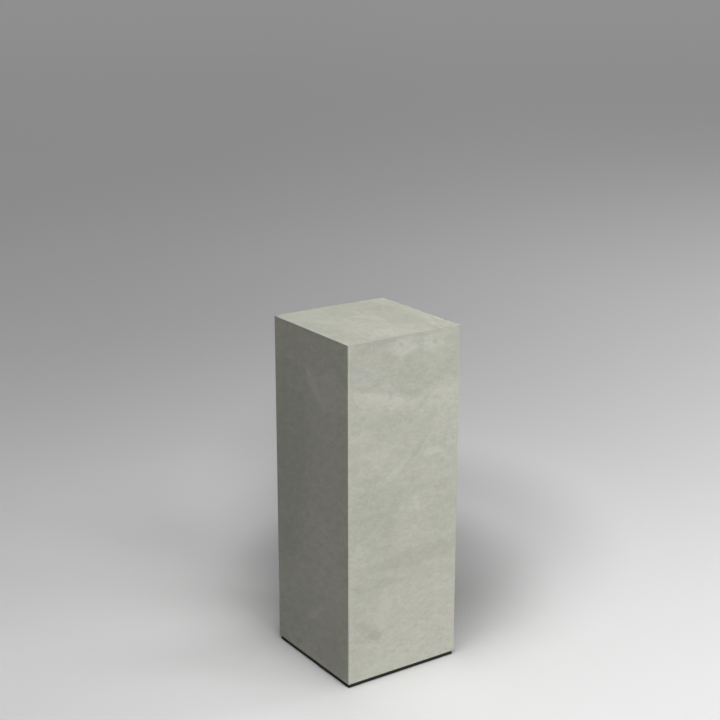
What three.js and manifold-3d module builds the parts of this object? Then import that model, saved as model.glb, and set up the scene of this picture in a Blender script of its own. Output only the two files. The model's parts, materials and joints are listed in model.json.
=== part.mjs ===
// Display plinth: a tall square box with a cement finish, open below, on a set-back base frame.
// Millimetres, +Z up. The origin is on the floor, under the middle of the plinth.
import * as THREE from 'three';
import { RoundedBoxGeometry } from 'three/addons/geometries/RoundedBoxGeometry.js';
import { mergeVertices } from 'three/addons/utils/BufferGeometryUtils.js';
import Module from 'manifold-3d';

// Driving dimensions of the body
const bodySide = 300;
const bodyHeight = 800;
const wallThickness = 12;
const arrisRadius = 0.5;
const arrisSegments = 3;

// Driving dimensions of the base frame
const frameHeight = 10;
const frameSetBack = 3;
const frameBoard = 40;

// The hollow leaves one wall thickness at the sides and under the top
const hollowSide = bodySide - 2 * wallThickness;
const hollowHeight = bodyHeight - wallThickness;

// The frame carries the lower edge of the walls and stays back from the faces
const frameSide = bodySide - 2 * frameSetBack;
const frameOpening = frameSide - 2 * frameBoard;

// The cutter for the hollow runs this far out of the underside
const cutterOverrun = 10;

const cementGrey = new THREE.Color(0.44, 0.445, 0.385);
const paintedBlack = new THREE.Color(0.012, 0.012, 0.012);

const wasm = await Module();
wasm.setup();

// Leaves only the positions, with the vertices that faces share merged
function weld(geometry) {
  geometry.deleteAttribute('normal');
  geometry.deleteAttribute('uv');
  return mergeVertices(geometry);
}

function toSolid(geometry) {
  const welded = weld(geometry);
  const vertProperties = new Float32Array(welded.attributes.position.array);
  const triVerts = new Uint32Array(welded.index.array);
  return new wasm.Manifold(new wasm.Mesh({ numProp: 3, vertProperties, triVerts }));
}

function toGeometry(solid) {
  const { vertProperties, triVerts } = solid.getMesh();
  const geometry = new THREE.BufferGeometry();
  geometry.setAttribute('position', new THREE.BufferAttribute(vertProperties, 3));
  geometry.setIndex(new THREE.BufferAttribute(triVerts, 1));
  geometry.computeVertexNormals();
  return geometry;
}

// A square outline about the origin, as a shape or as the path of a hole
function squareOutline(outline, side) {
  const half = side / 2;
  outline.moveTo(-half, -half);
  outline.lineTo(half, -half);
  outline.lineTo(half, half);
  outline.lineTo(-half, half);
  outline.closePath();
  return outline;
}

// Body: a box with eased arrises, hollowed out from below
function makeBody() {
  const outside = new RoundedBoxGeometry(bodySide, bodySide, bodyHeight, arrisSegments, arrisRadius);
  outside.translate(0, 0, bodyHeight / 2);
  const cutterHeight = hollowHeight + cutterOverrun;
  const cutter = new THREE.BoxGeometry(hollowSide, hollowSide, cutterHeight);
  cutter.translate(0, 0, cutterHeight / 2 - cutterOverrun);
  const shell = toSolid(outside).subtract(toSolid(cutter));
  const material = new THREE.MeshStandardMaterial({ color: cementGrey, roughness: 0.7, metalness: 0 });
  const body = new THREE.Mesh(toGeometry(shell), material);
  body.name = 'body';
  body.position.z = frameHeight;
  return body;
}

// Base frame: a flat square ring of board, open in the middle
function makeBaseFrame() {
  const section = squareOutline(new THREE.Shape(), frameSide);
  section.holes.push(squareOutline(new THREE.Path(), frameOpening));
  const ring = new THREE.ExtrudeGeometry(section, { depth: frameHeight, bevelEnabled: false });
  const material = new THREE.MeshStandardMaterial({ color: paintedBlack, roughness: 0.8, metalness: 0 });
  const frame = new THREE.Mesh(weld(ring), material);
  frame.geometry.computeVertexNormals();
  frame.name = 'base_frame';
  return frame;
}

const plinth = new THREE.Group();
plinth.add(makeBody());
plinth.add(makeBaseFrame());

export default plinth;
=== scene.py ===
import json
import math

import bmesh
import bpy
from mathutils import Matrix, Vector, noise

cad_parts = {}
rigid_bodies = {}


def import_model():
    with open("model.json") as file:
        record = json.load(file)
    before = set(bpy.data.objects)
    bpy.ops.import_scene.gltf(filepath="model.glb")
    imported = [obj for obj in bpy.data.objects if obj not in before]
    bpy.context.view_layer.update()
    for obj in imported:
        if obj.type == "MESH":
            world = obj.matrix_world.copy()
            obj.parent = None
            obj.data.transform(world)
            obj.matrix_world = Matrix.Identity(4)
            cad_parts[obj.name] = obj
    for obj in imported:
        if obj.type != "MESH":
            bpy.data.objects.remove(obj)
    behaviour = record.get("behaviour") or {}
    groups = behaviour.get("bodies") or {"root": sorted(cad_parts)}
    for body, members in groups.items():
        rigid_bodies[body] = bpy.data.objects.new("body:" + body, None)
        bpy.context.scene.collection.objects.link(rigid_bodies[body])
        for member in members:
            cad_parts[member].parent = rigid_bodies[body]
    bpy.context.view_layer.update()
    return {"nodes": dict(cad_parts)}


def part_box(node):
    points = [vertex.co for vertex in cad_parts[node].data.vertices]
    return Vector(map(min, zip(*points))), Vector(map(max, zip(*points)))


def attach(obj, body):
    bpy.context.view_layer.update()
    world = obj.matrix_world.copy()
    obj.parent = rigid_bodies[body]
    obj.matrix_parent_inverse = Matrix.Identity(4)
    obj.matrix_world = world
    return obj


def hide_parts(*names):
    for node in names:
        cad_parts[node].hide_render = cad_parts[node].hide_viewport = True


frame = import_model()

scene = bpy.context.scene
mm = 0.001
print("frame loaded:", ", ".join(sorted(frame["nodes"])))


# Small helpers for laying out nodes

def addNode(tree, kind, spot, values=None, **settings):
    node = tree.nodes.new("ShaderNode" + kind)
    node.location = (spot[0] * 200, spot[1] * -200)     # column and row on the sheet
    for name, value in settings.items():
        setattr(node, name, value)
    for socket, value in (values or {}).items():
        node.inputs[socket].default_value = value
    return node


def startGroup(name, inputs, outputs):
    tree = bpy.data.node_groups.new(name, "ShaderNodeTree")
    for label, kind, value in inputs:
        socket = tree.interface.new_socket(label, in_out="INPUT", socket_type="NodeSocket" + kind)
        socket.default_value = value
    for label, kind in outputs:
        tree.interface.new_socket(label, in_out="OUTPUT", socket_type="NodeSocket" + kind)
    start = tree.nodes.new("NodeGroupInput")
    end = tree.nodes.new("NodeGroupOutput")
    start.location = (-400, 0)
    end.location = (1600, 0)
    return tree, start, end


def useGroup(tree, group, spot, values):
    return addNode(tree, "Group", spot, values, node_tree=group)


def fromTo(fromLow, fromHigh, toLow, toHigh):
    return {"From Min": fromLow, "From Max": fromHigh, "To Min": toLow, "To Max": toHigh}


def startMaterial(name):
    material = bpy.data.materials.new(name)
    material.use_nodes = True
    tree = material.node_tree
    return material, tree, tree.nodes["Principled BSDF"]


# Shared effects

noiseSpread = (0.25, 0.75)     # where most values of a noise lie
noiseMiddle = (0.5, 0.5, 0.5)
pitRim = (0.28, 0.08)          # rim and floor of a pit, as distances in its cell
pitSpacing = 0.3               # the pits' scale against the grain's


def makeCloudLayer():
    tree, start, end = startGroup(
        "cloudLayer",
        [("Point", "Vector", (0, 0, 0)), ("Turn", "Vector", (0, 0, 0)), ("Stretch", "Vector", (1, 1, 1)),
         ("Scale", "Float", 5.0), ("Octaves", "Float", 4.0), ("Fade", "Float", 0.6),
         ("Drift", "Float", 0.0)],
        [("Cloud", "Float")])
    link = tree.links.new
    stretch = addNode(tree, "Mapping", (0, 0), vector_type="TEXTURE")     # large is longer
    cells = addNode(tree, "VectorMath", (1, 0), operation="SCALE")
    wander = addNode(tree, "TexNoise", (2, 1), {"Scale": 0.7, "Detail": 2.0})
    centred = addNode(tree, "VectorMath", (3, 1), {1: noiseMiddle}, operation="SUBTRACT")
    drift = addNode(tree, "VectorMath", (4, 1), operation="SCALE")     # in cells of the noise
    moved = addNode(tree, "VectorMath", (5, 0), operation="ADD")
    cloud = addNode(tree, "TexNoise", (6, 0), {"Scale": 1.0})
    signed = addNode(tree, "MapRange", (7, 0), fromTo(*noiseSpread, -1.0, 1.0), clamp=False)
    link(start.outputs["Point"], stretch.inputs["Vector"])
    link(start.outputs["Turn"], stretch.inputs["Rotation"])
    link(start.outputs["Stretch"], stretch.inputs["Scale"])
    link(stretch.outputs[0], cells.inputs[0])
    link(start.outputs["Scale"], cells.inputs["Scale"])
    link(cells.outputs[0], wander.inputs["Vector"])
    link(wander.outputs["Color"], centred.inputs[0])
    link(centred.outputs[0], drift.inputs[0])
    link(start.outputs["Drift"], drift.inputs["Scale"])
    link(cells.outputs[0], moved.inputs[0])
    link(drift.outputs[0], moved.inputs[1])
    link(moved.outputs[0], cloud.inputs["Vector"])
    link(start.outputs["Octaves"], cloud.inputs["Detail"])
    link(start.outputs["Fade"], cloud.inputs["Roughness"])
    link(cloud.outputs[0], signed.inputs[0])
    link(signed.outputs[0], end.inputs["Cloud"])
    return tree


def makeSoftPatch():
    # adds one soft-edged patch to the tone and the warmth laid down before it
    tree, start, end = startGroup(
        "softPatch",
        [("Point", "Vector", (0, 0, 0)), ("Centre", "Vector", (0, 0, 0)), ("Turn", "Vector", (0, 0, 0)),
         ("Reach", "Vector", (1, 1, 1)), ("Blur", "Float", 0.5), ("Lift", "Float", 0.0),
         ("Warm", "Float", 0.0), ("Tone before", "Float", 0.0), ("Warmth before", "Float", 0.0)],
        [("Tone", "Float"), ("Warmth", "Float")])
    link = tree.links.new
    moved = addNode(tree, "VectorMath", (0, 0), operation="SUBTRACT")
    turned = addNode(tree, "VectorRotate", (1, 0), rotation_type="EULER_XYZ", invert=True)
    local = addNode(tree, "VectorMath", (2, 0), operation="DIVIDE")
    distance = addNode(tree, "VectorMath", (3, 0), operation="LENGTH")
    outer = addNode(tree, "Math", (3, 1), {0: 1.0}, operation="ADD")
    inner = addNode(tree, "Math", (3, 2), {0: 1.0}, operation="SUBTRACT")
    mask = addNode(tree, "MapRange", (4, 0), interpolation_type="SMOOTHSTEP")
    tone = addNode(tree, "Math", (5, 0), operation="MULTIPLY_ADD")
    warmth = addNode(tree, "Math", (5, 1), operation="MULTIPLY_ADD")
    link(start.outputs["Point"], moved.inputs[0])
    link(start.outputs["Centre"], moved.inputs[1])
    link(moved.outputs[0], turned.inputs["Vector"])
    link(start.outputs["Turn"], turned.inputs["Rotation"])
    link(turned.outputs[0], local.inputs[0])
    link(start.outputs["Reach"], local.inputs[1])
    link(local.outputs[0], distance.inputs[0])
    link(distance.outputs["Value"], mask.inputs[0])
    link(start.outputs["Blur"], outer.inputs[1])
    link(start.outputs["Blur"], inner.inputs[1])
    link(outer.outputs[0], mask.inputs[1])
    link(inner.outputs[0], mask.inputs[2])
    for sums, amount, before, name in ((tone, "Lift", "Tone before", "Tone"),
                                       (warmth, "Warm", "Warmth before", "Warmth")):
        link(mask.outputs[0], sums.inputs[0])
        link(start.outputs[amount], sums.inputs[1])
        link(start.outputs[before], sums.inputs[2])
        link(sums.outputs[0], end.inputs[name])
    return tree


def makeSurfaceGrain():
    tree, start, end = startGroup(
        "surfaceGrain",
        [("Point", "Vector", (0, 0, 0)), ("Scale", "Float", 400.0), ("Pit share", "Float", 0.1)],
        [("Grain", "Float"), ("Pits", "Float")])
    link = tree.links.new
    grain = addNode(tree, "TexNoise", (0, 0), {"Detail": 4.0, "Roughness": 0.7})
    signed = addNode(tree, "MapRange", (1, 0), fromTo(*noiseSpread, -1.0, 1.0), clamp=False)
    coarser = addNode(tree, "Math", (0, 1), {1: pitSpacing}, operation="MULTIPLY")
    cells = addNode(tree, "TexVoronoi", (1, 1))
    hole = addNode(tree, "MapRange", (2, 1), fromTo(*pitRim, 0.0, 1.0),
                   interpolation_type="SMOOTHSTEP")
    pick = addNode(tree, "Math", (2, 2), operation="LESS_THAN")     # only a few cells hold a pit
    split = addNode(tree, "SeparateColor", (1, 2))
    pits = addNode(tree, "Math", (3, 1), operation="MULTIPLY")
    link(start.outputs["Point"], grain.inputs["Vector"])
    link(start.outputs["Scale"], grain.inputs["Scale"])
    link(grain.outputs[0], signed.inputs[0])
    link(signed.outputs[0], end.inputs["Grain"])
    link(start.outputs["Scale"], coarser.inputs[0])
    link(start.outputs["Point"], cells.inputs["Vector"])
    link(coarser.outputs[0], cells.inputs["Scale"])
    link(cells.outputs["Distance"], hole.inputs[0])
    link(cells.outputs["Color"], split.inputs[0])
    link(split.outputs[0], pick.inputs[0])
    link(start.outputs["Pit share"], pick.inputs[1])
    link(hole.outputs[0], pits.inputs[0])
    link(pick.outputs[0], pits.inputs[1])
    link(pits.outputs[0], end.inputs["Pits"])
    return tree


cloudLayer = makeCloudLayer()
softPatch = makeSoftPatch()
surfaceGrain = makeSurfaceGrain()
print("shared effects ready")


# Cement skim coat on the outside of the body, with a few strips of painted light

cementSpec = {
    "cool": ((0.368, 0.385, 0.321), (0.428, 0.446, 0.375), (0.492, 0.508, 0.430)),   # dark, mid, pale
    "warm": ((0.388, 0.377, 0.327), (0.450, 0.439, 0.381), (0.514, 0.501, 0.440)),
    "lilac": (0.970, 0.965, 1.060),      # tints a few spots
    "rough": (0.60, 0.74),
    "grainScale": 520.0,          # finest sand in the skim coat, per metre
    "pitShare": 0.05,
    "broad": {"Scale": 4.0, "Octaves": 2.0, "Fade": 0.8, "Drift": 1.0, "Stretch": (1.0, 1.0, 0.77)},
    "mottle": {"Scale": 46.0, "Octaves": 5.0, "Fade": 0.95, "Drift": 0.5, "Stretch": (1.35, 1.5, 0.8),
               "Turn": (math.radians(-17), 0, 0)},
    "hue": {"Scale": 16.0, "Octaves": 4.0, "Fade": 0.85, "Drift": 0.6, "Stretch": (1.25, 1.25, 0.8)},
    "broadShare": 0.15,
    "mottleShare": 1.35,
    "mottleSwing": 0.45,          # some areas are more mottled than others
    "grainShare": 0.3,
    "hueShare": 1.4,
    "hueOnTop": 0.35,             # the top is more even in hue
    "topCloud": (0.35, -0.25, 0.3),      # shorter clouds along x and longer ones along y on the top
    "topEdge": (0.7 * mm, 0.3 * mm),
    "strayNoise": {"Scale": 30.0, "Detail": 5.0, "Roughness": 0.75},
    "stray": {"wide": (80 * mm, 45 * mm), "thin": (14 * mm, 10 * mm)},   # along and up, ragged patch edges
    "thinPatch": 10,              # mm
    "grainInBump": 0.4,
    "bumpDepth": 0.4 * mm,
    "bumpShare": 0.2,
    "specular": 0.3,
}

# Clouded patches that show on the three sides in view, and a few pale strips of painted light along
# edges. Across and down are measured in mm from a face's upper left corner, seen from outside, and turn
# in degrees against the clock. Lift is paler or darker, warm is pinker or greener, and blur is how soft the
# rim is.
softRim, mediumRim, crispRim = 0.6, 0.4, 0.22
skimPatchesAndPaintedLight = {
    "front": [
        {"at": (52, 42), "reach": (66, 54), "turn": -6, "lift": -0.42, "warm": 0.2, "blur": mediumRim},
        {"at": (86, 2), "reach": (40, 13), "turn": 0, "lift": -0.60, "warm": -0.1, "blur": mediumRim},
        {"at": (150, 0), "reach": (175, 9), "turn": 0, "lift": -0.55, "warm": 0.0, "blur": softRim},
        {"at": (150, 28), "reach": (125, 30), "turn": 0, "lift": -0.24, "warm": 0.0, "blur": softRim},
        {"at": (146, 25), "reach": (34, 19), "turn": 0, "lift": 0.85, "warm": 0.0, "blur": mediumRim},
        {"at": (140, 18), "reach": (9, 4), "turn": -32, "lift": -1.05, "warm": 0.1, "blur": mediumRim},
        {"at": (228, 32), "reach": (26, 32), "turn": 15, "lift": 0.55, "warm": -0.3, "blur": mediumRim},
        {"at": (232, 28), "reach": (5, 5), "turn": 0, "lift": -0.80, "warm": 0.0, "blur": mediumRim},
        {"at": (184, 94), "reach": (92, 38), "turn": -4, "lift": -0.50, "warm": -0.35, "blur": mediumRim},
        {"at": (150, 88), "reach": (36, 20), "turn": -10, "lift": -0.20, "warm": 0.0, "blur": softRim},
        {"at": (284, 68), "reach": (24, 46), "turn": 0, "lift": -0.35, "warm": -0.2, "blur": softRim},
        {"at": (80, 138), "reach": (92, 19), "turn": -15, "lift": 0.40, "warm": 0.35, "blur": crispRim},
        {"at": (155, 131), "reach": (135, 7), "turn": -12, "lift": -0.28, "warm": -0.1, "blur": softRim},
        {"at": (150, 147), "reach": (140, 6), "turn": -12, "lift": 0.22, "warm": 0.1, "blur": softRim},
        {"at": (296, 90), "reach": (14, 80), "turn": 0, "lift": -0.30, "warm": 0.0, "blur": softRim},
        {"at": (290, 440), "reach": (14, 70), "turn": 0, "lift": -0.20, "warm": 0.0, "blur": softRim},
        {"at": (124, 144), "reach": (40, 13), "turn": -14, "lift": 0.35, "warm": -0.3, "blur": mediumRim},
        {"at": (270, 152), "reach": (42, 38), "turn": 0, "lift": 0.40, "warm": 0.0, "blur": softRim},
        {"at": (252, 110), "reach": (36, 9), "turn": 8, "lift": 0.10, "warm": 0.6, "blur": softRim},
        {"at": (96, 198), "reach": (58, 24), "turn": 0, "lift": -0.32, "warm": -0.2, "blur": softRim},
        {"at": (44, 217), "reach": (34, 16), "turn": 0, "lift": 0.42, "warm": 0.3, "blur": mediumRim},
        {"at": (262, 212), "reach": (22, 18), "turn": 0, "lift": 0.30, "warm": 0.0, "blur": softRim},
        {"at": (80, 272), "reach": (50, 18), "turn": -6, "lift": 0.35, "warm": 0.4, "blur": softRim},
        {"at": (128, 310), "reach": (46, 8), "turn": 38, "lift": 0.55, "warm": 0.4, "blur": mediumRim},
        {"at": (190, 264), "reach": (42, 7), "turn": 45, "lift": -0.50, "warm": -0.2, "blur": mediumRim},
        {"at": (226, 281), "reach": (24, 9), "turn": 4, "lift": 0.65, "warm": 0.5, "blur": mediumRim},
        {"at": (222, 332), "reach": (32, 20), "turn": 20, "lift": 0.06, "warm": 0.0, "blur": softRim},
        {"at": (74, 402), "reach": (74, 72), "turn": 0, "lift": -0.45, "warm": -0.35, "blur": mediumRim},
        {"at": (172, 400), "reach": (32, 16), "turn": 0, "lift": 0.45, "warm": 0.0, "blur": mediumRim},
        {"at": (250, 392), "reach": (36, 26), "turn": 0, "lift": -0.20, "warm": 0.2, "blur": softRim},
        {"at": (108, 476), "reach": (36, 40), "turn": 0, "lift": -0.10, "warm": 0.6, "blur": softRim},
        {"at": (184, 480), "reach": (44, 18), "turn": 0, "lift": 0.12, "warm": 0.0, "blur": softRim},
        {"at": (192, 527), "reach": (122, 19), "turn": 3, "lift": -0.48, "warm": 0.35, "blur": mediumRim},
        {"at": (118, 534), "reach": (46, 13), "turn": -4, "lift": -0.12, "warm": 0.1, "blur": softRim},
        {"at": (92, 576), "reach": (48, 11), "turn": 4, "lift": -0.50, "warm": -0.2, "blur": mediumRim},
        {"at": (14, 576), "reach": (16, 12), "turn": 0, "lift": -0.35, "warm": -0.2, "blur": softRim},
        {"at": (94, 624), "reach": (20, 36), "turn": 0, "lift": 0.42, "warm": 0.1, "blur": softRim},
        {"at": (20, 650), "reach": (24, 46), "turn": 0, "lift": -0.14, "warm": -0.3, "blur": softRim},
        {"at": (190, 702), "reach": (155, 126), "turn": 0, "lift": 0.45, "warm": 0.3, "blur": softRim},
        {"at": (58, 682), "reach": (36, 19), "turn": -40, "lift": -0.70, "warm": 0.4, "blur": mediumRim},
        {"at": (75, 699), "reach": (19, 16), "turn": 0, "lift": -0.60, "warm": 0.3, "blur": mediumRim},
        {"at": (50, 772), "reach": (64, 24), "turn": 0, "lift": 0.25, "warm": -0.5, "blur": softRim},
        {"at": (6, 690), "reach": (14, 110), "turn": 0, "lift": 0.22, "warm": 0.0, "blur": softRim},
        # painted light: a pale strip along the bottom of the front face
        {"at": (190, 784), "reach": (130, 26), "turn": 0, "lift": 0.36, "warm": 0.0, "blur": softRim},
    ],
    "left": [
        {"at": (48, 330), "reach": (84, 270), "turn": -4, "lift": -0.50, "warm": -0.3, "blur": mediumRim},
        {"at": (228, 125), "reach": (92, 43), "turn": -3, "lift": 0.55, "warm": 0.3, "blur": crispRim},
        {"at": (166, 126), "reach": (56, 9), "turn": -47, "lift": 0.90, "warm": 0.0, "blur": mediumRim},
        {"at": (58, 77), "reach": (28, 11), "turn": 0, "lift": 0.32, "warm": 0.6, "blur": mediumRim},
        {"at": (230, 400), "reach": (100, 220), "turn": 0, "lift": 0.22, "warm": 0.2, "blur": softRim},
        {"at": (44, 522), "reach": (42, 26), "turn": -35, "lift": -0.34, "warm": 0.0, "blur": softRim},
        {"at": (256, 586), "reach": (36, 26), "turn": 10, "lift": 0.32, "warm": 0.0, "blur": softRim},
        {"at": (100, 616), "reach": (110, 26), "turn": 12, "lift": 0.16, "warm": 0.0, "blur": softRim},
        {"at": (148, 686), "reach": (54, 8), "turn": 36, "lift": 0.65, "warm": 0.0, "blur": mediumRim},
        {"at": (60, 722), "reach": (82, 22), "turn": 10, "lift": -0.32, "warm": -0.2, "blur": softRim},
        {"at": (250, 726), "reach": (54, 34), "turn": 0, "lift": -0.22, "warm": 0.0, "blur": softRim},
        {"at": (142, 776), "reach": (40, 11), "turn": 15, "lift": 0.42, "warm": 0.0, "blur": mediumRim},
        {"at": (40, 660), "reach": (50, 40), "turn": 10, "lift": 0.15, "warm": 0.0, "blur": softRim},
        # painted light: a pale strip along the bottom of the left face
        {"at": (150, 799), "reach": (200, 12), "turn": 0, "lift": 0.85, "warm": 0.0, "blur": softRim},
    ],
    "top": [
        {"at": (172, 140), "reach": (38, 12), "turn": -52, "lift": 0.50, "warm": 0.0, "blur": mediumRim},
        {"at": (229, 82), "reach": (40, 36), "turn": 0, "lift": -0.45, "warm": 0.0, "blur": softRim},
        {"at": (218, 195), "reach": (32, 32), "turn": 0, "lift": -0.40, "warm": 0.0, "blur": softRim},
        {"at": (150, 258), "reach": (58, 36), "turn": 0, "lift": 0.45, "warm": 0.0, "blur": softRim},
        {"at": (272, 135), "reach": (16, 20), "turn": 0, "lift": 0.45, "warm": 0.0, "blur": mediumRim},
        {"at": (110, 70), "reach": (40, 44), "turn": 0, "lift": -0.30, "warm": 0.0, "blur": softRim},
        {"at": (30, 165), "reach": (30, 66), "turn": 0, "lift": -0.20, "warm": 0.0, "blur": softRim},
        {"at": (14, 150), "reach": (40, 170), "turn": 0, "lift": -0.40, "warm": 0.0, "blur": softRim},
        {"at": (120, 8), "reach": (130, 26), "turn": 0, "lift": -0.14, "warm": 0.0, "blur": softRim},
        {"at": (120, 292), "reach": (110, 14), "turn": 0, "lift": -0.20, "warm": 0.0, "blur": softRim},
        {"at": (45, 254), "reach": (58, 24), "turn": 0, "lift": -0.34, "warm": 0.0, "blur": softRim},
        {"at": (278, 26), "reach": (26, 30), "turn": 0, "lift": 0.35, "warm": 0.0, "blur": softRim},
        {"at": (80, 18), "reach": (24, 18), "turn": 0, "lift": 0.24, "warm": 0.0, "blur": softRim},
        {"at": (250, 284), "reach": (60, 16), "turn": 0, "lift": 0.22, "warm": 0.0, "blur": softRim},
        # painted highlight: a pale rim along the top's back right edge
        {"at": (286, 150), "reach": (16, 160), "turn": 0, "lift": 0.25, "warm": 0.0, "blur": softRim},
        {"at": (299, 150), "reach": (7, 160), "turn": 0, "lift": 0.80, "warm": 0.0, "blur": mediumRim},
    ],
}
lilacSpots = {
    "front": [
        {"at": (82, 6), "reach": (30, 11), "turn": 0, "lift": 0.4, "blur": softRim},
        {"at": (32, 70), "reach": (24, 22), "turn": 0, "lift": 0.5, "blur": softRim},
        {"at": (116, 136), "reach": (24, 10), "turn": -11, "lift": 0.45, "blur": mediumRim},
        {"at": (164, 20), "reach": (26, 15), "turn": 0, "lift": 0.4, "blur": softRim},
        {"at": (287, 26), "reach": (13, 14), "turn": 0, "lift": 0.4, "blur": softRim},
    ],
    "top": [
        {"at": (10, 130), "reach": (16, 110), "turn": 0, "lift": 0.4, "blur": softRim},
        {"at": (292, 150), "reach": (10, 150), "turn": 0, "lift": 0.4, "blur": softRim},
    ],
}
patchDepth = 4 * mm      # keeps a patch to its own side of the body


def patchPlace(side, patch):
    # centre, turn and reach of one patch in the part's own frame
    low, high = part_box("body")
    across, down = (value * mm for value in patch["at"])
    wide, tall = (value * mm for value in patch["reach"])
    turn = math.radians(patch["turn"])
    if side == "front":
        return (low.x + across, low.y, high.z - down), (0, -turn, 0), (wide, patchDepth, tall)
    if side == "left":
        return (low.x, high.y - across, high.z - down), (-turn, 0, 0), (patchDepth, wide, tall)
    return (low.x + across, high.y - down, high.z), (0, 0, turn), (wide, tall, patchDepth)


def strayReach(side, along, up):
    # patch edges stray within their own side only
    return {"front": (along, 0, up), "left": (0, along, up), "top": (along, along, 0)}[side]


def placePatch(tree, spot, side, patch, strayed):
    centre, turn, reach = patchPlace(side, patch)
    layer = useGroup(tree, softPatch, spot, {
        "Centre": centre, "Turn": turn, "Reach": reach, "Blur": patch["blur"], "Lift": patch["lift"],
        "Warm": patch.get("warm", 0.0)})
    size = "thin" if min(patch["reach"]) < cementSpec["thinPatch"] else "wide"
    tree.links.new(strayed[size], layer.inputs["Point"])
    return layer


def toneRamp(tree, spot, colours):
    ramp = addNode(tree, "ValToRGB", spot)
    stops = ramp.color_ramp.elements
    stops.new(0.5)
    for stop, colour in zip(stops, colours):
        stop.color = (*colour, 1.0)
    return ramp


def makeCement():
    spec = cementSpec
    material, tree, shader = startMaterial("cement_skim_coat")
    link = tree.links.new
    shader.location = (2600, 0)
    tree.nodes["Material Output"].location = (2900, 0)
    point = addNode(tree, "TexCoord", (-6, 0)).outputs["Object"]

    # the top carries its own stretch of the clouds
    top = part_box("body")[1].z
    split = addNode(tree, "SeparateXYZ", (-5, 1))
    low, high = (top - edge for edge in spec["topEdge"])
    onTop = addNode(tree, "MapRange", (-4, 1), fromTo(low, high, 0.0, 1.0))
    change = addNode(tree, "VectorMath", (-3, 1), {1: spec["topCloud"], 2: (1, 1, 1)},
                     operation="MULTIPLY_ADD")
    worked = addNode(tree, "VectorMath", (-2, 0), operation="MULTIPLY")
    link(point, split.inputs[0])
    link(split.outputs["Z"], onTop.inputs[0])
    link(onTop.outputs[0], change.inputs[0])
    link(point, worked.inputs[0])
    link(change.outputs[0], worked.inputs[1])

    layers = {}
    for row, name in enumerate(("broad", "mottle", "hue")):
        layers[name] = useGroup(tree, cloudLayer, (-1, row), spec[name])
        link(worked.outputs[0], layers[name].inputs["Point"])
    grain = useGroup(tree, surfaceGrain, (-1, 3),
                     {"Scale": spec["grainScale"], "Pit share": spec["pitShare"]})
    link(worked.outputs[0], grain.inputs["Point"])

    def addShare(before, value, share, spot):
        step = addNode(tree, "Math", spot, {1: share, 2: 0.0}, operation="MULTIPLY_ADD")
        link(value, step.inputs[0])
        if before:
            link(before, step.inputs[2])
        return step.outputs[0]

    def product(first, second, spot):
        step = addNode(tree, "Math", spot, operation="MULTIPLY")
        link(first, step.inputs[0])
        link(second, step.inputs[1])
        return step.outputs[0]

    swing = addNode(tree, "Math", (0, 2), {1: spec["mottleSwing"], 2: 1.0}, operation="MULTIPLY_ADD")
    link(layers["broad"].outputs["Cloud"], swing.inputs[0])
    mottle = product(layers["mottle"].outputs["Cloud"], swing.outputs[0], (1, 2))
    evenness = addNode(tree, "MapRange", (0, 3), fromTo(0.0, 1.0, 1.0, spec["hueOnTop"]))
    link(onTop.outputs[0], evenness.inputs[0])
    hue = product(layers["hue"].outputs["Cloud"], evenness.outputs[0], (1, 3))
    tone = addShare(None, layers["broad"].outputs["Cloud"], spec["broadShare"], (0, 0))
    tone = addShare(tone, mottle, spec["mottleShare"], (2, 0))
    tone = addShare(tone, grain.outputs["Grain"], spec["grainShare"], (3, 0))
    warmth = addShare(None, hue, spec["hueShare"], (2, 1))

    # patches with ragged edges
    stray = addNode(tree, "TexNoise", (-2, 5), spec["strayNoise"])
    centred = addNode(tree, "VectorMath", (-1, 5), {1: noiseMiddle}, operation="SUBTRACT")
    link(point, stray.inputs["Vector"])
    link(stray.outputs["Color"], centred.inputs[0])
    row = 6
    lilac = None
    for side, patches in skimPatchesAndPaintedLight.items():
        strayed = {}
        for size, reach in spec["stray"].items():
            node = addNode(tree, "VectorMath", (1, row), operation="MULTIPLY_ADD")
            node.inputs[1].default_value = strayReach(side, *reach)
            link(centred.outputs[0], node.inputs[0])
            link(point, node.inputs[2])
            strayed[size] = node.outputs[0]
            row += 1
        for number, patch in enumerate(patches):
            layer = placePatch(tree, (number + 2, row), side, patch, strayed)
            link(tone, layer.inputs["Tone before"])
            link(warmth, layer.inputs["Warmth before"])
            tone, warmth = layer.outputs["Tone"], layer.outputs["Warmth"]
        row += 1
        for number, spot in enumerate(lilacSpots.get(side, [])):
            layer = placePatch(tree, (number + 2, row), side, spot, strayed)
            if lilac:
                link(lilac, layer.inputs["Tone before"])
            lilac = layer.outputs["Tone"]
        row += 1

    # tone picks a place on the two ramps, warmth mixes the ramps
    place = addNode(tree, "MapRange", (9, 0), fromTo(-1.0, 1.0, 0.0, 1.0))
    mix = addNode(tree, "MapRange", (9, 1), fromTo(-1.0, 1.0, 0.0, 1.0))
    cool = toneRamp(tree, (10, 0), spec["cool"])
    warm = toneRamp(tree, (10, 1), spec["warm"])
    colour = addNode(tree, "Mix", (11, 0), data_type="RGBA")
    tinted = addNode(tree, "Mix", (12, 0), {"B": (*spec["lilac"], 1.0)}, data_type="RGBA",
                     blend_type="MULTIPLY")
    link(tone, place.inputs[0])
    link(warmth, mix.inputs[0])
    link(place.outputs[0], cool.inputs[0])
    link(place.outputs[0], warm.inputs[0])
    link(mix.outputs[0], colour.inputs["Factor"])
    link(cool.outputs[0], colour.inputs["A"])
    link(warm.outputs[0], colour.inputs["B"])
    link(lilac, tinted.inputs["Factor"])
    link(colour.outputs["Result"], tinted.inputs["A"])
    link(tinted.outputs["Result"], shader.inputs["Base Color"])

    rough = addNode(tree, "MapRange", (11, 3), fromTo(1.0, -1.0, *spec["rough"]))
    link(layers["mottle"].outputs["Cloud"], rough.inputs[0])
    link(rough.outputs[0], shader.inputs["Roughness"])

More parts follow.
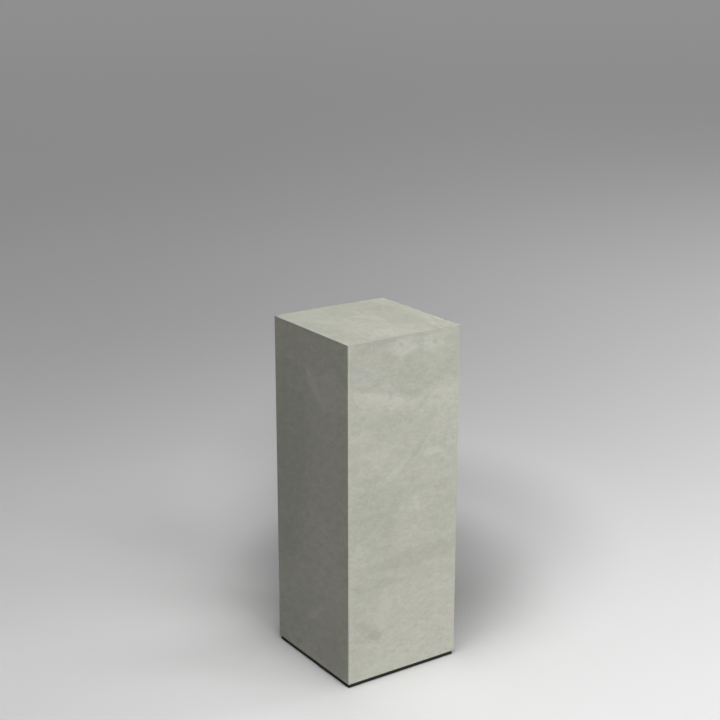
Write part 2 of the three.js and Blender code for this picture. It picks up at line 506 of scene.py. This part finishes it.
    # sand grain and a few pin holes under the trowel marks
    height = addNode(tree, "Math", (10, 5), {1: spec["grainInBump"]}, operation="MULTIPLY_ADD")
    pitted = addNode(tree, "Math", (11, 5), operation="SUBTRACT")
    bump = addNode(tree, "Bump", (12, 5), {"Strength": spec["bumpShare"], "Distance": spec["bumpDepth"]})
    link(grain.outputs["Grain"], height.inputs[0])
    link(layers["mottle"].outputs["Cloud"], height.inputs[2])
    link(height.outputs[0], pitted.inputs[0])
    link(grain.outputs["Pits"], pitted.inputs[1])
    link(pitted.outputs[0], bump.inputs["Height"])
    link(bump.outputs[0], shader.inputs["Normal"])
    shader.inputs["Specular IOR Level"].default_value = spec["specular"]
    return material


# Plain coats: bare board that shows only from below, inside the hollow, and black paint on the base

boardSpec = {
    "name": "bare_fibreboard",
    "colours": ((0.150, 0.128, 0.100), (0.205, 0.178, 0.142), (0.262, 0.232, 0.190)),
    "rough": (0.72, 0.86),
    "cloud": {"Scale": 60.0, "Octaves": 5.0, "Fade": 0.7, "Drift": 0.8, "Stretch": (1.0, 1.0, 2.9)},
    "grainScale": 900.0,
    "grainShare": 0.5,
    "pitShare": 0.0,
    "bumpDepth": 0.3 * mm,
    "bumpShare": 0.3,
    "specular": 0.5,
}
paintSpec = {
    "name": "matte_black_paint",
    "colours": ((0.007, 0.007, 0.005), (0.011, 0.011, 0.008), (0.024, 0.024, 0.019)),
    "rough": (0.52, 0.70),
    "cloud": {"Scale": 220.0, "Octaves": 3.0, "Fade": 0.55, "Drift": 0.4},      # left by the roller
    "grainScale": 1500.0,
    "grainShare": 0.25,
    "pitShare": 0.02,
    "bumpDepth": 0.25 * mm,
    "bumpShare": 0.3,
    "specular": 0.25,
}


def makePlainCoat(spec):
    material, tree, shader = startMaterial(spec["name"])
    link = tree.links.new
    point = addNode(tree, "TexCoord", (-5, 0)).outputs["Object"]
    cloud = useGroup(tree, cloudLayer, (-4, 0), spec["cloud"])
    grain = useGroup(tree, surfaceGrain, (-4, 1),
                     {"Scale": spec["grainScale"], "Pit share": spec["pitShare"]})
    height = addNode(tree, "Math", (-3, 0), {1: spec["grainShare"]}, operation="MULTIPLY_ADD")
    place = addNode(tree, "MapRange", (-2, 0), fromTo(-1.0, 1.0, 0.0, 1.0))
    ramp = toneRamp(tree, (-1.5, 0), spec["colours"])
    rough = addNode(tree, "MapRange", (-2, 1), fromTo(-1.0, 1.0, *spec["rough"]))
    bump = addNode(tree, "Bump", (-2, 2), {"Strength": spec["bumpShare"], "Distance": spec["bumpDepth"]})
    link(point, cloud.inputs["Point"])
    link(point, grain.inputs["Point"])
    link(grain.outputs["Grain"], height.inputs[0])
    link(cloud.outputs["Cloud"], height.inputs[2])
    link(height.outputs[0], place.inputs[0])
    link(place.outputs[0], ramp.inputs[0])
    link(ramp.outputs[0], shader.inputs["Base Color"])
    link(height.outputs[0], rough.inputs[0])
    link(rough.outputs[0], shader.inputs["Roughness"])
    link(height.outputs[0], bump.inputs["Height"])
    link(bump.outputs[0], shader.inputs["Normal"])
    shader.inputs["Specular IOR Level"].default_value = spec["specular"]
    return material


cement = makeCement()
board = makePlainCoat(boardSpec)
blackPaint = makePlainCoat(paintSpec)
print("materials ready")


# Body: a hollow box, open below, with crisp eased arrises

bodySpec = {
    "wall": 12 * mm,
    "arris": 0.4 * mm,
    "arrisSteps": 3,
    "mouthEase": 0.4 * mm,        # inner edge of the open bottom
    "mouthSteps": 2,
    "cell": 12.5 * mm,            # grid that carries the trowel marks
    "trowelDepth": 0.15 * mm,
    "trowelSweep": (6.0, 6.0, 9.0),      # sweeps per metre along x, y and z
    "trowelNoise": (0.8, 2.0, 3),        # fade, step between octaves and number of octaves
    "quietBorder": 14 * mm,       # the marks die away before the arrises
}
touch = 0.01 * mm         # nearer than this counts as on a side
cutTouch = 1e-7           # m, corners this near a cut are kept
roundProfile = 0.5        # bevels are quarter rounds
sharpAngle = 40           # degrees, steeper edges stay crisp


def easeEdges(shape, edges, reach, steps):
    bmesh.ops.bevel(shape, geom=edges, offset=reach, segments=steps, profile=roundProfile, affect="EDGES")


def cutGrid(shape, low, high, cell):
    for axis in range(3):
        count = round((high[axis] - low[axis]) / cell)
        normal = Vector((0, 0, 0))
        normal[axis] = 1.0
        for step in range(1, count):
            spot = low.copy()
            spot[axis] += (high[axis] - low[axis]) * step / count
            every = shape.verts[:] + shape.edges[:] + shape.faces[:]
            bmesh.ops.bisect_plane(shape, geom=every, dist=cutTouch, plane_co=spot, plane_no=normal)


def addTrowelMarks(shape, low, high, spec):
    for vert in shape.verts:
        gaps = [min(vert.co[axis] - low[axis], high[axis] - vert.co[axis]) for axis in range(3)]
        axis = gaps.index(min(gaps))
        onRim = axis == 2 and vert.co.z < high.z - touch
        border = sorted(gaps)[1] - spec["arris"]
        if gaps[axis] > touch or onRim or border <= 0:
            continue
        calm = min(1.0, border / spec["quietBorder"])
        calm = calm * calm * (3 - 2 * calm)
        sweep = Vector(value * count for value, count in zip(vert.co, spec["trowelSweep"]))
        swell = noise.fractal(sweep, *spec["trowelNoise"])
        inward = 1.0 if vert.co[axis] < 0 else -1.0
        vert.co[axis] += inward * spec["trowelDepth"] * calm * (0.5 + 0.5 * max(-1.0, min(1.0, swell)))


def markSharp(shape, angle):
    for edge in shape.edges:
        edge.smooth = edge.calc_face_angle(0.0) < angle
    for face in shape.faces:
        face.smooth = True


def finishPiece(shape, name, materials):
    bmesh.ops.recalc_face_normals(shape, faces=shape.faces[:])
    markSharp(shape, math.radians(sharpAngle))
    mesh = bpy.data.meshes.new(name)
    shape.to_mesh(mesh)
    shape.free()
    for material in materials:
        mesh.materials.append(material)
    piece = bpy.data.objects.new(name, mesh)
    scene.collection.objects.link(piece)
    flats = piece.modifiers.new("true flats", "WEIGHTED_NORMAL")
    flats.keep_sharp = True
    return piece


def makeBody():
    spec = bodySpec
    low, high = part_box("body")
    size = high - low
    shape = bmesh.new()
    bmesh.ops.create_cube(shape, size=1.0, matrix=Matrix.LocRotScale((low + high) / 2, None, size))
    arrises = shape.edges[:]
    mouth = min(shape.faces, key=lambda face: face.calc_center_median().z)
    bmesh.ops.inset_individual(shape, faces=[mouth], thickness=spec["wall"])
    mouthEdges = list(mouth.edges)
    ceiling = bmesh.ops.extrude_discrete_faces(shape, faces=[mouth])["faces"][0]
    bmesh.ops.translate(shape, verts=ceiling.verts, vec=(0, 0, size.z - spec["wall"]))
    easeEdges(shape, mouthEdges, spec["mouthEase"], spec["mouthSteps"])
    easeEdges(shape, arrises, spec["arris"], spec["arrisSteps"])
    cutGrid(shape, low, high, spec["cell"])
    inside = spec["wall"] - spec["mouthEase"]
    for face in shape.faces:
        spot = face.calc_center_median()
        depth = min(spot.x - low.x, high.x - spot.x, spot.y - low.y, high.y - spot.y)
        hidden = depth > inside and spot.z < high.z - spec["wall"] / 2
        onRim = spot.z < low.z + touch
        face.material_index = 1 if hidden or onRim else 0
    addTrowelMarks(shape, low, high, spec)
    return finishPiece(shape, "plinth_body", [cement, board])


body = makeBody()
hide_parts("body")
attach(body, "root")
print("body:", len(body.data.polygons), "faces")


# Base: four flat mitred boards, set back under the body

baseSpec = {
    "board": 40 * mm,
    "mitreGap": 0.15 * mm,        # hairline left at each mitre
    "ease": 0.5 * mm,
    "easeSteps": 3,
    "cell": 20 * mm,
}


def addBaseBoard(shape, half, low, high, quarter, spec):
    # one board along -Y with both ends mitred, turned round by quarters
    turn = Matrix.Rotation(math.radians(90 * quarter), 4, "Z")
    inner = half - spec["board"]
    gap = spec["mitreGap"] / 2
    plan = [(-half + gap, -half), (half - gap, -half), (inner - gap, -inner), (-inner + gap, -inner)]
    bottom = [shape.verts.new(turn @ Vector((x, y, low))) for x, y in plan]
    top = [shape.verts.new(turn @ Vector((x, y, high))) for x, y in plan]
    faces = [shape.faces.new(bottom[::-1]), shape.faces.new(top)]
    for here in range(4):
        after = (here + 1) % 4
        faces.append(shape.faces.new((bottom[here], bottom[after], top[after], top[here])))
    return {edge for face in faces for edge in face.edges}


def makeBase():
    spec = baseSpec
    low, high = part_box("base_frame")
    shape = bmesh.new()
    edges = set()
    for quarter in range(4):
        edges |= addBaseBoard(shape, high.x, low.z, high.z, quarter, spec)
    easeEdges(shape, list(edges), spec["ease"], spec["easeSteps"])
    cutGrid(shape, low, high, spec["cell"])
    return finishPiece(shape, "recessed_base", [blackPaint])


base = makeBase()
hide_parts("base_frame")
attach(base, "root")
print("base:", len(base.data.polygons), "faces")


# Floor, light and camera

cameraSpec = {
    "place": (-1.828, -2.673, 1.682),
    "heading": -34.12,       # degrees from +Y, turned to the right
    "pitch": 16.60,          # degrees down
    "lens": 74.6,
    "sensor": 36.0,
}


def viewAxes():
    # level directions away from the camera and to its right
    heading = math.radians(cameraSpec["heading"])
    forward = Vector((-math.sin(heading), math.cos(heading), 0))
    return forward, Vector((forward.y, -forward.x, 0))


floorSpec = {
    "radius": 60.0,
    "sides": 96,
    "seen": 0.86,             # how pale the floor looks
    "thrown": 0.575,          # how much light it throws back on the plinth
    "contactShade": 0.15,     # painted shade, a little darker close to the plinth
    "contactReach": 0.14,     # m
    "backShades": [           # painted soft shadow; metres to the right and away, seen from the camera
        {"at": (-0.5, 1.9), "reach": (1.5, 1.7), "shade": 0.10, "blur": 0.7},        # wide and faint
        {"at": (0.15, 0.7), "reach": (0.45, 0.6), "shade": 0.20, "blur": 0.4},
        {"at": (0.05, 0.45), "reach": (0.35, 0.4), "shade": 0.25, "blur": 0.4},      # core, close behind
        {"at": (-0.1, 0.9), "reach": (0.25, 0.8), "shade": 0.20, "blur": 0.9},
    ],
    "sideways": 0.041,        # painted light, paler to the right and darker to the left
    "sidewaysReach": 1.04,    # m
    "farGlow": 0.225,         # painted glow that keeps the distant floor from going dark
    "farStart": 1.6,          # m from the plinth
    "farReach": 6.2,
}


def makeFloor():
    spec = floorSpec
    material, tree, shader = startMaterial("studio_floor")
    link = tree.links.new
    tree.nodes.remove(shader)
    point = addNode(tree, "TexCoord", (-8, 0)).outputs["Object"]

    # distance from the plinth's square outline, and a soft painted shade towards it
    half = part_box("body")[1].x
    mirrored = addNode(tree, "VectorMath", (-7, 0), operation="ABSOLUTE")
    beyond = addNode(tree, "VectorMath", (-6, 0), {1: (half, half, 0)}, operation="SUBTRACT")
    outside = addNode(tree, "VectorMath", (-5, 0), {1: (0, 0, 0)}, operation="MAXIMUM")
    distance = addNode(tree, "VectorMath", (-4, 0), operation="LENGTH")
    falling = addNode(tree, "Math", (-3, 0), {1: -1.0 / spec["contactReach"]}, operation="MULTIPLY")
    fade = addNode(tree, "Math", (-2, 0), operation="EXPONENT")
    contact = addNode(tree, "Math", (-1, 0), {1: -spec["contactShade"], 2: 1.0}, operation="MULTIPLY_ADD")
    link(point, mirrored.inputs[0])
    link(mirrored.outputs[0], beyond.inputs[0])
    link(beyond.outputs[0], outside.inputs[0])
    link(outside.outputs[0], distance.inputs[0])
    link(distance.outputs["Value"], falling.inputs[0])
    link(falling.outputs[0], fade.inputs[0])
    link(fade.outputs[0], contact.inputs[0])

    # painted shadow, darker where the plinth's shadow falls away from the camera
    forward, right = viewAxes()
    behind = None
    for number, part in enumerate(spec["backShades"]):
        layer = useGroup(tree, softPatch, (number - 3, 1), {
            "Centre": right * part["at"][0] + forward * part["at"][1],
            "Turn": (0, 0, math.radians(cameraSpec["heading"])), "Reach": (*part["reach"], 1.0),
            "Blur": part["blur"], "Lift": -part["shade"], "Tone before": 1.0})
        link(point, layer.inputs["Point"])
        if behind:
            link(behind.outputs["Tone"], layer.inputs["Tone before"])
        behind = layer
    both = addNode(tree, "Math", (-1, 1), operation="MULTIPLY")
    link(contact.outputs[0], both.inputs[0])
    link(behind.outputs["Tone"], both.inputs[1])

    # painted light: paler on the side that the light comes from
    toRight = addNode(tree, "VectorMath", (-3, 3), {1: right}, operation="DOT_PRODUCT")
    pale = addNode(tree, "MapRange", (-2, 3), fromTo(
        -spec["sidewaysReach"], spec["sidewaysReach"],
        spec["seen"] * (1 - spec["sideways"]), spec["seen"] * (1 + spec["sideways"])))
    shade = addNode(tree, "Math", (-0.5, 0), operation="MULTIPLY")
    link(point, toRight.inputs[0])
    link(toRight.outputs["Value"], pale.inputs[0])
    link(both.outputs[0], shade.inputs[0])
    link(pale.outputs[0], shade.inputs[1])

    # the camera sees a paler floor than the plinth does
    seen = addNode(tree, "BsdfDiffuse", (0, 0))
    thrown = addNode(tree, "BsdfDiffuse", (0, 1), {"Color": (*(spec["thrown"],) * 3, 1.0)})
    # painted glow: the distant floor glows for the camera only
    far = addNode(tree, "VectorMath", (-6, 2), operation="LENGTH")
    further = addNode(tree, "Math", (-5, 2), {1: spec["farStart"]}, operation="SUBTRACT")
    beyondStart = addNode(tree, "Math", (-4, 2), {1: 0.0}, operation="MAXIMUM")
    dying = addNode(tree, "Math", (-3, 2), {1: -1.0 / spec["farReach"]}, operation="MULTIPLY")
    gone = addNode(tree, "Math", (-2, 2), operation="EXPONENT")
    glow = addNode(tree, "Math", (-1, 2), {1: -spec["farGlow"], 2: spec["farGlow"]},
                   operation="MULTIPLY_ADD")
    paintedGlow = addNode(tree, "Emission", (0, 2))
    lit = addNode(tree, "AddShader", (1, 1))
    path = addNode(tree, "LightPath", (1, -1))
    mix = addNode(tree, "MixShader", (2, 0))
    link(shade.outputs[0], seen.inputs["Color"])
    link(point, far.inputs[0])
    link(far.outputs["Value"], further.inputs[0])
    link(further.outputs[0], beyondStart.inputs[0])
    link(beyondStart.outputs[0], dying.inputs[0])
    link(dying.outputs[0], gone.inputs[0])
    link(gone.outputs[0], glow.inputs[0])
    link(glow.outputs[0], paintedGlow.inputs["Strength"])
    link(seen.outputs[0], lit.inputs[0])
    link(paintedGlow.outputs[0], lit.inputs[1])
    link(path.outputs["Is Camera Ray"], mix.inputs[0])
    link(thrown.outputs[0], mix.inputs[1])
    link(lit.outputs[0], mix.inputs[2])
    link(mix.outputs[0], tree.nodes["Material Output"].inputs["Surface"])

    shape = bmesh.new()
    bmesh.ops.create_circle(shape, cap_ends=True, segments=spec["sides"], radius=spec["radius"])
    mesh = bpy.data.meshes.new("floor")
    shape.to_mesh(mesh)
    shape.free()
    mesh.materials.append(material)
    floor = bpy.data.objects.new("floor", mesh)
    scene.collection.objects.link(floor)


def makeCamera():
    data = bpy.data.cameras.new("camera")
    data.sensor_width = cameraSpec["sensor"]
    data.lens = cameraSpec["lens"]
    camera = bpy.data.objects.new("camera", data)
    camera.location = cameraSpec["place"]
    camera.rotation_euler = (math.radians(90 - cameraSpec["pitch"]), 0, math.radians(cameraSpec["heading"]))
    scene.collection.objects.link(camera)
    scene.camera = camera


# right and near are metres from the plinth, seen from the camera; aim is where on the way to the
# plinth a lamp points, 0 being the plinth itself
studioLights = [
    {"name": "front_high", "right": 4.0, "near": 5.0, "height": 6.0, "size": 3.0, "aim": 0.3, "watts": 218},
    {"name": "overhead", "right": -0.27, "near": 0.60, "height": 3.1, "size": 1.1, "aim": 0.0, "watts": 44},
    {"name": "right_far", "right": 9.0, "near": 6.0, "height": 1.2, "size": 1.6, "aim": 0.3, "watts": 332},
    {"name": "right_side", "right": 4.0, "near": 1.0, "height": 2.2, "size": 1.6, "aim": 0.3, "watts": 44},
    {"name": "back_right", "right": 6.0, "near": -2.5, "height": 4.0, "size": 2.2, "aim": 0.3, "watts": 93},
    {"name": "back_fill", "right": -1.7, "near": -2.5, "height": 0.7, "size": 0.8, "aim": 0.0, "watts": 20},
]
fillLights = ["back_fill"]     # they light the plinth and leave the floor alone
ambientStrength = 0.06


def makeLights():
    forward, right = viewAxes()
    plinthOnly = bpy.data.collections.new("plinth_only")
    for piece in (body, base):
        plinthOnly.objects.link(piece)
    for spec in studioLights:
        data = bpy.data.lights.new(spec["name"], "AREA")
        data.shape = "DISK"
        data.size = spec["size"]
        data.energy = spec["watts"]
        lamp = bpy.data.objects.new(spec["name"], data)
        lamp.location = right * spec["right"] - forward * spec["near"] + Vector((0, 0, spec["height"]))
        target = lamp.location * spec["aim"]
        target.z = 0.0
        lamp.rotation_euler = (target - lamp.location).to_track_quat("-Z", "Y").to_euler()
        lamp.visible_camera = False
        if spec["name"] in fillLights:
            lamp.light_linking.receiver_collection = plinthOnly
        scene.collection.objects.link(lamp)
    world = bpy.data.worlds.new("studio")
    world.use_nodes = True
    world.node_tree.nodes["Background"].inputs["Color"].default_value = (1, 1, 1, 1)
    world.node_tree.nodes["Background"].inputs["Strength"].default_value = ambientStrength
    scene.world = world
    scene.view_settings.view_transform = "Standard"


makeFloor()
makeCamera()
makeLights()
print("stage ready")
